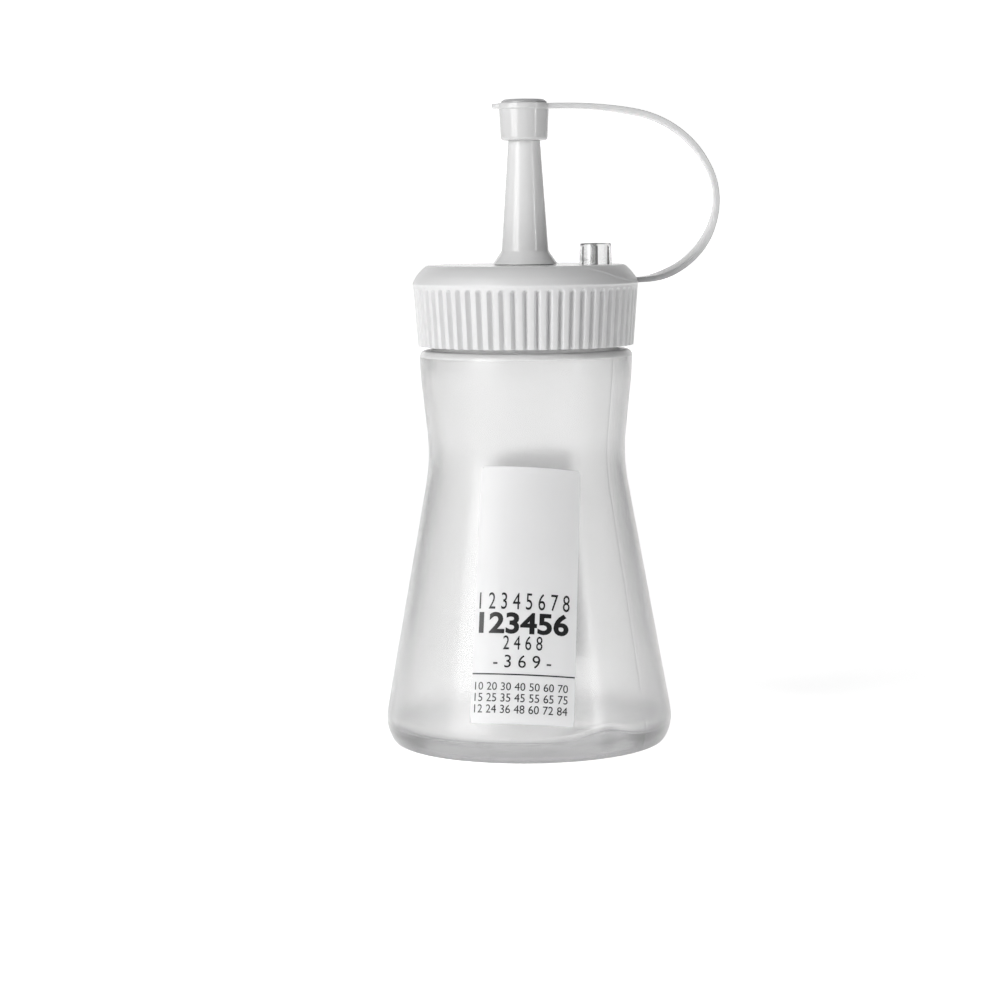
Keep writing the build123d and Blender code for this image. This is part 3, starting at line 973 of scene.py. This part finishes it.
def threadGrid(shape):
    # a trapezoid section carried along a helix inside the bore, thinned to nothing at both ends
    gone = np.radians(np.linspace(0, 360 * shape["turns"], 160))[:, None]
    total = 2 * np.pi * shape["turns"]
    fade = math.radians(shape["fade"])
    full = smoothStep(gone / fade) * smoothStep((total - gone) / fade)
    inwards = np.array([0, 1, 1, 0])[None, :] * (shape["depth"] + shape["rooted"])
    root, crest = shape["rootHalf"], shape["crestHalf"]
    upwards = np.array([-root, -crest, crest, root])[None, :]
    depth = -shape["rooted"] + inwards * full
    radius = cap["boreRadius"] - depth
    height = shape["bottom"] + shape["pitch"] * gone / (2 * np.pi) + upwards * full
    return np.stack([radius * np.cos(gone), radius * np.sin(gone), height], axis=-1)


threadRidge = addPiece("capThreadRidge", threadGrid(capThread), capPlastic, sharp=30)
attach(threadRidge, "cap")
print("cap made", len(capShell.data.polygons))

# Nozzle, post and tip cap

nozzle = {
    "boreRadius": 4.0,
    "spigotRadius": 5.0,
    "beadOut": 0.6,
    "beadHeight": 0.8,
    "seatRadius": 6.7,
    "seatHeight": 0.12,
    "flareRadius": 7.7,
    "flareRim": 0.25,
    "flareHeight": 2.98,
    "stemFoot": 5.65,
    "stemTop": 3.85,
    "stemLength": 26.25,
    "stemWall": 1.3,
    "tipLength": 4.65,
    "tipRadius": 2.5,
    "orifice": 1.3,
    "orificeLength": 1.2,
}
flareBottom = capTop + nozzle["seatHeight"]
stemBottom = flareBottom + 0.2 + nozzle["flareHeight"]
stemTop = stemBottom + nozzle["stemLength"]
nozzleTop = nozzleHigh[2]


def nozzleLine(shape):
    # spigot, seat, flare, stem and tip outside, then the orifice and the tapered bore inside
    beadTop = capTop - cap["ceiling"]
    beadFoot = beadTop - shape["beadHeight"]
    return eased(
        [
            (shape["boreRadius"] + 0.3, beadFoot, 0),
            (shape["spigotRadius"], beadFoot, 0.1),
            (shape["spigotRadius"] + shape["beadOut"], beadFoot + shape["beadHeight"] / 2, 0.15),
            (shape["spigotRadius"] + shape["beadOut"], beadTop - 0.05, 0.1),
            (shape["spigotRadius"], beadTop - 0.05, 0.05),
            (shape["spigotRadius"], capTop + 0.02, 0.02),
            (shape["seatRadius"], capTop + 0.02, 0.1),
            (shape["seatRadius"], flareBottom, 0.2),
            (shape["flareRadius"], flareBottom, 0.08),
            (shape["flareRadius"], flareBottom + shape["flareRim"], 0.12),
            (shape["stemFoot"], stemBottom, 0.35),
            (shape["stemTop"], stemTop, 0.15),
            (shape["tipRadius"], nozzleTop, 0.25),
            (shape["orifice"], nozzleTop, 0.15),
            (shape["orifice"], nozzleTop - shape["orificeLength"], 0.2),
            (shape["stemTop"] - shape["stemWall"], stemTop, 0.5),
            (shape["boreRadius"], stemBottom - 0.5, 0.5),
            (shape["boreRadius"], beadFoot, 0.1),
        ]
    )


nozzlePiece = addPiece(
    "nozzleSpout",
    turned(refined(nozzleLine(nozzle), 1.2), evenTurn(160)),
    nozzlePlastic,
    wrapRows=True,
)
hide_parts("nozzle")
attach(nozzlePiece, "cap")

post = {
    "foot": 3.92,
    "top": 3.72,
    "bore": 2.9,
    "edge": 0.45,
    "innerEdge": 0.2,
    "turns": 128,
    "webHalf": 0.22,  # a thin wall that stiffens the bore, front to back
    "webSpan": 0.97,  # of the bore's radius
    "webPowers": (0.4, 0.4),
    "webTop": 0.6,  # below the rim
    "webTurn": 17.0,  # degrees
    "webShift": -0.5,
}
postAxis = (postLow[0] + postHigh[0]) / 2
postTop = postHigh[2]


def postLine(shape):
    return eased(
        [
            (shape["bore"] + 0.4, capTop - 0.1, 0),
            (shape["foot"], capTop - 0.1, 0.05),
            (shape["top"], postTop, shape["edge"]),
            (shape["bore"], postTop, shape["innerEdge"]),
            (shape["bore"], capTop - 0.1, 0.05),
        ]
    )


postGrid = turned(refined(postLine(post), 0.8), evenTurn(post["turns"])) + np.array([postAxis, 0, 0])
postPiece = addPiece("parkingPost", postGrid, postPlastic, wrapRows=True)
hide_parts("parking_post")
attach(postPiece, "cap")


def webGrid(shape):
    # a superellipse, turned a little and carried straight up the bore, with its ends closed
    across, along = flattenedLoop(shape["webHalf"], shape["bore"] * shape["webSpan"], shape["webPowers"], 24)
    c, s = math.cos(math.radians(shape["webTurn"])), math.sin(math.radians(shape["webTurn"]))
    across, along = across * c - along * s + shape["webShift"], across * s + along * c
    top = postTop - shape["webTop"]
    height = np.array([capTop, capTop, capTop + 3, top - 0.2, top, top])
    size = np.array([0, 1, 1, 1, 0.9, 0])[:, None]
    return np.stack([postAxis + across * size, along * size, height[:, None] + 0 * across], axis=-1)


webPiece = addPiece("parkingPostWeb", webGrid(post), webPlastic, sharp=50)
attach(webPiece, "cap")

tip = {
    "lipRadius": 5.6,
    "shoulderRadius": 6.0,
    "lipEase": 0.8,
    "mouthGap": 0.2,
    "height": 7.55,
    "topWall": 2.2,
    "flangeRadius": 6.35,
    "flangeThickness": 1.35,
    "discRadius": 5.5,
    "discEase": 0.4,
    "discSlope": 0.7,  # how far in and down its rim is cut
    "plugRadius": 0.9,
    "plugEntry": 0.9,
    "clearance": 0.2,
    "tabStart": 4.6,  # inside the flange
    "tabReach": 7.7,
    "tabWidth": 4.4,
    "tabThickness": 1.15,
}
lipHeight = stemTop + tip["mouthGap"]
flangeBottom = lipHeight + tip["height"]
flangeTop = flangeBottom + tip["flangeThickness"]
discTop = tipHigh[2]
strapHeight = flangeBottom + tip["flangeThickness"] / 2


def tipLine(shape):
    # lid disc, flange and tapered cup outside, then the socket that fits the nozzle's tip, and the plug
    slope = (nozzle["stemTop"] - nozzle["tipRadius"]) / nozzle["tipLength"]
    waist = nozzleTop + shape["clearance"]
    ceilingHeight = discTop - shape["topWall"]
    mouth = nozzle["stemTop"] - (lipHeight - stemTop) * slope + shape["clearance"]
    neckRadius = nozzle["stemTop"] - (waist - stemTop) * slope + shape["clearance"]
    return eased(
        [
            (0, discTop, 0),
            (shape["discRadius"] - shape["discSlope"], discTop, shape["discEase"]),
            (shape["discRadius"], discTop - shape["discSlope"] * 0.8, shape["discEase"]),
            (shape["discRadius"], flangeTop, 0.15),
            (shape["flangeRadius"], flangeTop, 0.25),
            (shape["flangeRadius"], flangeBottom, 0.2),
            (shape["shoulderRadius"], flangeBottom, 0.1),
            (shape["lipRadius"], lipHeight, shape["lipEase"]),
            (mouth, lipHeight, 0.2),
            (neckRadius, waist, 0.1),
            (neckRadius, ceilingHeight, 0.1),
            (shape["plugRadius"], ceilingHeight, 0.1),
            (shape["plugRadius"], nozzleTop - shape["plugEntry"], 0.2),
            (0, nozzleTop - shape["plugEntry"], 0),
        ]
    )


tipGrid = turned(refined(tipLine(tip), 1.0), evenTurn(160))
tipPiece = addPiece("tipCapCup", tipGrid, tipShadedPlastic)
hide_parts("tip_cap")
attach(tipPiece, "tip")
# painted shade: the disc's faces above the flange take the greyer copy of the plastic
giveOther(tipPiece, discShadedPlastic, facesAbove(tipPiece, flangeTop + 0.1))


def tabGrid(shape):
    # a flat tongue: half width is a straight side then a half circle, thickness swells with a soft rim
    reach, half = shape["tabReach"], shape["tabWidth"] / 2
    nose = half - reach - half * np.sin(np.linspace(0.05, 1, 14) * np.pi / 2)
    along = np.r_[np.linspace(-shape["tabStart"], half - reach, 8), nose]
    bend = np.clip((half - reach - along) / half, 0, 1)
    wide = half * np.sqrt(1 - bend**2) * (1 + 0.12 * smoothStep((along + 6.6) / 1.4))
    around = np.linspace(0, 2 * np.pi, 32, endpoint=False)
    # a flattened superellipse round each station keeps the faces flat and the rim round
    c, s = np.cos(around), np.sin(around)
    y = np.sign(c) * np.abs(c) ** 0.35 * wide[:, None]
    z = np.sign(s) * np.abs(s) ** 0.35 * np.minimum(shape["tabThickness"] / 2, wide[:, None] + 1e-4)
    return np.stack([along[:, None] + 0 * y, y, strapHeight + z], axis=-1)


tabPiece = addPiece("tipCapTab", tabGrid(tip), tipShadedPlastic, sharp=60)
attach(tabPiece, "tip")
print("nozzle, post and tip cap made")

# Strap

strap = {
    "width": 5.5,
    "thickness": 1.35,
    "powers": (0.22, 0.32),  # of its section: near 0 it would be square
    "topRadius": 88.0,
    "topTurn": 11.2,
    "shoulderTurn": 54.8,
    "sideRadius": 16.0,
    "sideTurn": 26.7,
    "curlRadius": 19.5,
    "wholeTurn": 174.7,
    "rootReach": 28.4,
    "rootHeight": 111.65,
    "rooted": 2.6,  # how far the strap runs on past its last hinge, into the cap
    "lap": 1.5,  # how far it starts inside the tip cap's flange
    "upperTwist": -4.0,  # degrees
    "upperSpan": (8.0, 22.0, 36.0, 50.0),  # along the strap: where that grows and where it fades
    "lowerTwist": -10.5,
    "lowerSpan": (50.0, 67.0, 9.0, 1.0),  # the last two from its end
    "stationLength": 0.5,
    "hingeReach": 12.0,  # how far either side of a hinge the strap bends
    "hingeShare": 0.98,  # and of the room between the hinge and its span's ends, at most this much
}


def strapCourse(shape):
    # heading grows evenly along each arc, and the place is the running sum of its cosine and sine
    curl = shape["wholeTurn"] - shape["topTurn"] - shape["shoulderTurn"] - shape["sideTurn"]
    radii = [shape["topRadius"], None, shape["sideRadius"], shape["curlRadius"]]
    turns = np.radians([shape["topTurn"], shape["shoulderTurn"], shape["sideTurn"], curl])
    ends = np.r_[0, np.cumsum(turns)]
    falls = np.cos(ends[:-1]) - np.cos(ends[1:])
    known = sum(r * f for r, f in zip(radii, falls) if r)
    radii[1] = (strapHeight - shape["rootHeight"] - known) / falls[1]
    radii = np.array(radii)
    across = np.sum(radii * (np.sin(ends[1:]) - np.sin(ends[:-1])))
    straight = shape["rootReach"] - across - tip["flangeRadius"]
    straight = straight + shape["lap"]
    knots = np.r_[0, straight, straight + np.cumsum(radii * turns)]
    step = 0.02
    s = np.arange(0, knots[-1] + shape["rooted"], step)
    heading = np.interp(s, knots, np.r_[0, ends])
    x = tip["flangeRadius"] - shape["lap"] + np.r_[0, np.cumsum(np.cos(heading[:-1]))] * step
    z = strapHeight - np.r_[0, np.cumsum(np.sin(heading[:-1]))] * step
    return s, x, z, heading


courseS, courseX, courseZ, courseHeading = strapCourse(strap)
hinges = {j["child"]: np.array(j["pos_m"]) / mm for j in frame["joints"] if "pos_m" in j}
hingeOrder = ["tip", "strap_upper_link", "strap_side_link", "strap_lower_link", "strap_root_link"]


def courseAt(place):
    # how far along the course its nearest point to this place lies
    return courseS[np.argmin(np.hypot(courseX - place[0], courseZ - place[2]))]


hingeStops = [courseAt(hinges[name]) for name in hingeOrder]
print("hinges along the strap", [round(float(stop), 2) for stop in hingeStops])


def strapTwist(s):
    # two twists, each one growing and fading smoothly along the course
    a, b, c, d = strap["upperSpan"]
    upper = math.radians(strap["upperTwist"]) * smoothStep((s - a) / (b - a)) * smoothStep((d - s) / (d - c))
    a, b, c, d = strap["lowerSpan"]
    fades = smoothStep((courseS[-1] - s - d) / (c - d))
    return upper + math.radians(strap["lowerTwist"]) * smoothStep((s - a) / (b - a)) * fades


def strapGrid(start, end):
    # the section carried along the course between two stops, with its ends closed flat
    count = max(8, int((end - start) / strap["stationLength"]))
    s = np.linspace(start, end, count)
    x, z = np.interp(s, courseS, courseX), np.interp(s, courseS, courseZ)
    heading, twist = np.interp(s, courseS, courseHeading), strapTwist(s)
    wide, thick = flattenedLoop(strap["width"] / 2, strap["thickness"] / 2, strap["powers"], 28)
    side = wide * np.cos(twist)[:, None] - thick * np.sin(twist)[:, None]
    out = wide * np.sin(twist)[:, None] + thick * np.cos(twist)[:, None]
    x, z = x[:, None] + out * np.sin(heading)[:, None], z[:, None] + out * np.cos(heading)[:, None]
    grid = np.stack([x, side, z], axis=-1)
    middle = np.repeat(grid.mean(axis=1, keepdims=True), grid.shape[1], axis=1)
    return np.concatenate([middle[:1], grid, middle[-1:]])


def addStrap():
    # one span over each hinge; neighbouring spans meet halfway along the link between them
    stops = [0.0, *((a + b) / 2 for a, b in zip(hingeStops, hingeStops[1:])), courseS[-1]]
    names = ["strapTop", "strapShoulder", "strapSide", "strapCurl", "strapRoot"]
    nodes = ["strap_upper", "strap_side", "strap_lower", "strap_root"]
    for i, name in enumerate(names):
        piece = addPiece(name, strapGrid(stops[i], stops[i + 1]), strapShadedPlastic, sharp=50)
        if i < len(nodes):
            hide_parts(nodes[i])
        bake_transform(piece)


addStrap()
print("strap made")

# The seal ring stays as its CAD node and only takes its finish.
sealRing = frame["nodes"]["seal_ring"]
sealRing.data.materials.clear()
sealRing.data.materials.append(sealFoam)

# Floor, light and camera

stage = {
    "colour": "#f6f6f6",
    "toothSize": 1.5,  # mm
    "toothDepth": 0.2,
    "toothStrength": 0.1,
    "roughness": 0.8,
    "glow": 0.7,
    # painted pools of light, round the foot and again right under it: from where and to where each fades,
    # and how many times stronger it is
    "paintedLightBeside": (0.045, 0.1, 1.3),
    "paintedLightUnder": (0.024, 0.034, 1.2),
    "wallDistance": 1.6,
    "wallHeight": 1.4,
    "bend": 0.5,
    "halfWidth": (0.45, 1.0),  # of the table's front edge and of the wall
    "front": -0.45,
}


def sweepGrid(shape):
    # floor, a quarter-circle bend and a wall behind, drawn along X
    centre = (shape["wallDistance"] - shape["bend"], shape["bend"])
    bend = arc(centre, shape["bend"], -90, 0, 32)
    line = joined((shape["front"], 0), bend, (shape["wallDistance"], shape["wallHeight"]))
    across = np.linspace(-1, 1, 9)
    near, far = shape["halfWidth"]
    wide = near + (far - near) * smoothStep(line[:, :1] / shape["wallDistance"])
    return np.stack([across * wide, line[:, :1] + 0 * across, line[:, 1:] + 0 * across], axis=-1)


def addStage(shape):
    # opal acrylic lit from beneath: a white ground that keeps only a trace of shadow, its glow even except
    # for painted pools of light round and under the bottle's foot
    material, tree, where = startMaterial("opalAcrylicTable")
    tooth = addNoise(tree, where, shape["toothSize"], 2.0)
    away = addNode(tree, "VectorMath", {0: where}, "Value", operation="LENGTH")
    glow = shape["glow"]
    # painted light: the glow is made stronger near the foot
    for near, far, times in (shape["paintedLightBeside"], shape["paintedLightUnder"]):
        fade = {"Value": away, "From Min": near, "From Max": far, "To Min": times, "To Max": 1.0}
        glow = addNode(tree, "Math", {0: addNode(tree, "MapRange", fade), 1: glow}, operation="MULTIPLY")
    finish = {
        "Base Color": hexColour(shape["colour"]),
        "Roughness": shape["roughness"],
        "Emission Color": hexColour("#ffffff"),
        "Emission Strength": glow,
        "Normal": addBump(tree, tooth, shape["toothStrength"], shape["toothDepth"]),
    }
    addSurface(tree, finish)
    mesh = meshFromGrid("backdrop", sweepGrid(shape) / mm, False, False, None)
    mesh.shade_smooth()
    backdrop = addObject("backdrop", mesh)
    mesh.materials.append(material)


addStage(stage)


def addLight(name, place, target, size, power, colour="#ffffff"):
    light = bpy.data.lights.new(name, "AREA")
    light.shape = "RECTANGLE"
    light.size, light.size_y = size
    light.energy = power
    light.color = hexColour(colour)[:3]
    lamp = addObject(name, light)
    lamp.location = place
    lamp.rotation_euler = (Vector(target) - Vector(place)).to_track_quat("-Z", "Y").to_euler()
    return lamp


def around(azimuth, distance, height):
    # a place round the object: azimuth 0 is in front of it, and positive is to its right
    angle = math.radians(azimuth)
    return (distance * math.sin(angle), -distance * math.cos(angle), height)


middleOfObject = (0, 0, 0.08)
addLight("leftSoftbox", around(-48, 0.85, 0.5), (0, 0, 0.5), (0.5, 0.95), 6.7)
addLight("rightStrip", around(56, 0.9, 0.25), middleOfObject, (0.022, 0.5), 1.15)
addLight("frontFill", around(-29, 1.1, 0.9), middleOfObject, (1.1, 0.8), 2.4)
addLight("overhead", (0.0, 0.1, 1.3), middleOfObject, (1.2, 1.2), 0.6)

# the room: dim overhead and greyer at the level of the table; seen directly it is plain white
room = {"overhead": 0.05, "level": 0.11, "seen": 1.0}
world = bpy.data.worlds.new("studioAir")
bpy.context.scene.world = world
world.use_nodes = True
world.node_tree.nodes.clear()
way = addNode(world.node_tree, "TexCoord", {}, "Generated")
rise = addNode(world.node_tree, "SeparateXYZ", {"Vector": way}, "Z")
dim = addSpread(world.node_tree, rise, room["level"], room["overhead"])
seen = addNode(world.node_tree, "LightPath", {}, "Is Camera Ray")
strength = addNode(world.node_tree, "Mix", {"Factor": seen, "A": dim, "B": room["seen"]}, data_type="FLOAT")
air = addNode(world.node_tree, "Background", {"Color": hexColour("#ffffff"), "Strength": strength})
addNode(world.node_tree, "OutputWorld", {"Surface": air})

camera = {
    "distance": 0.6807,
    "height": 0.1286,
    "aim": 0.0775,
    "focalPixels": 2822,
    "pictureSide": 1000,
    "axisPixel": (526.6, 421.4),  # where the picture's lines of sight straight ahead meet it
    "roll": 0.5,  # degrees
}


def addCamera(view):
    data = bpy.data.cameras.new("camera")
    data.sensor_width = 36
    data.lens = view["focalPixels"] / view["pictureSide"] * data.sensor_width
    half = view["pictureSide"] / 2
    data.shift_x = -(view["axisPixel"][0] - half) / view["pictureSide"]
    data.shift_y = (view["axisPixel"][1] - half) / view["pictureSide"]
    viewer = addObject("camera", data)
    viewer.location = (0, -view["distance"], view["height"])
    aim = Vector((0, view["distance"], view["aim"] - view["height"]))
    turn = aim.to_track_quat("-Z", "Y").to_matrix().to_4x4()
    viewer.matrix_world = Matrix.Translation(viewer.location) @ turn @ Matrix.Rotation(
        math.radians(-view["roll"]), 4, "Z"
    )
    bpy.context.scene.camera = viewer


addCamera(camera)
bpy.context.scene.view_settings.view_transform = "Standard"
print("stage, lights and camera made")
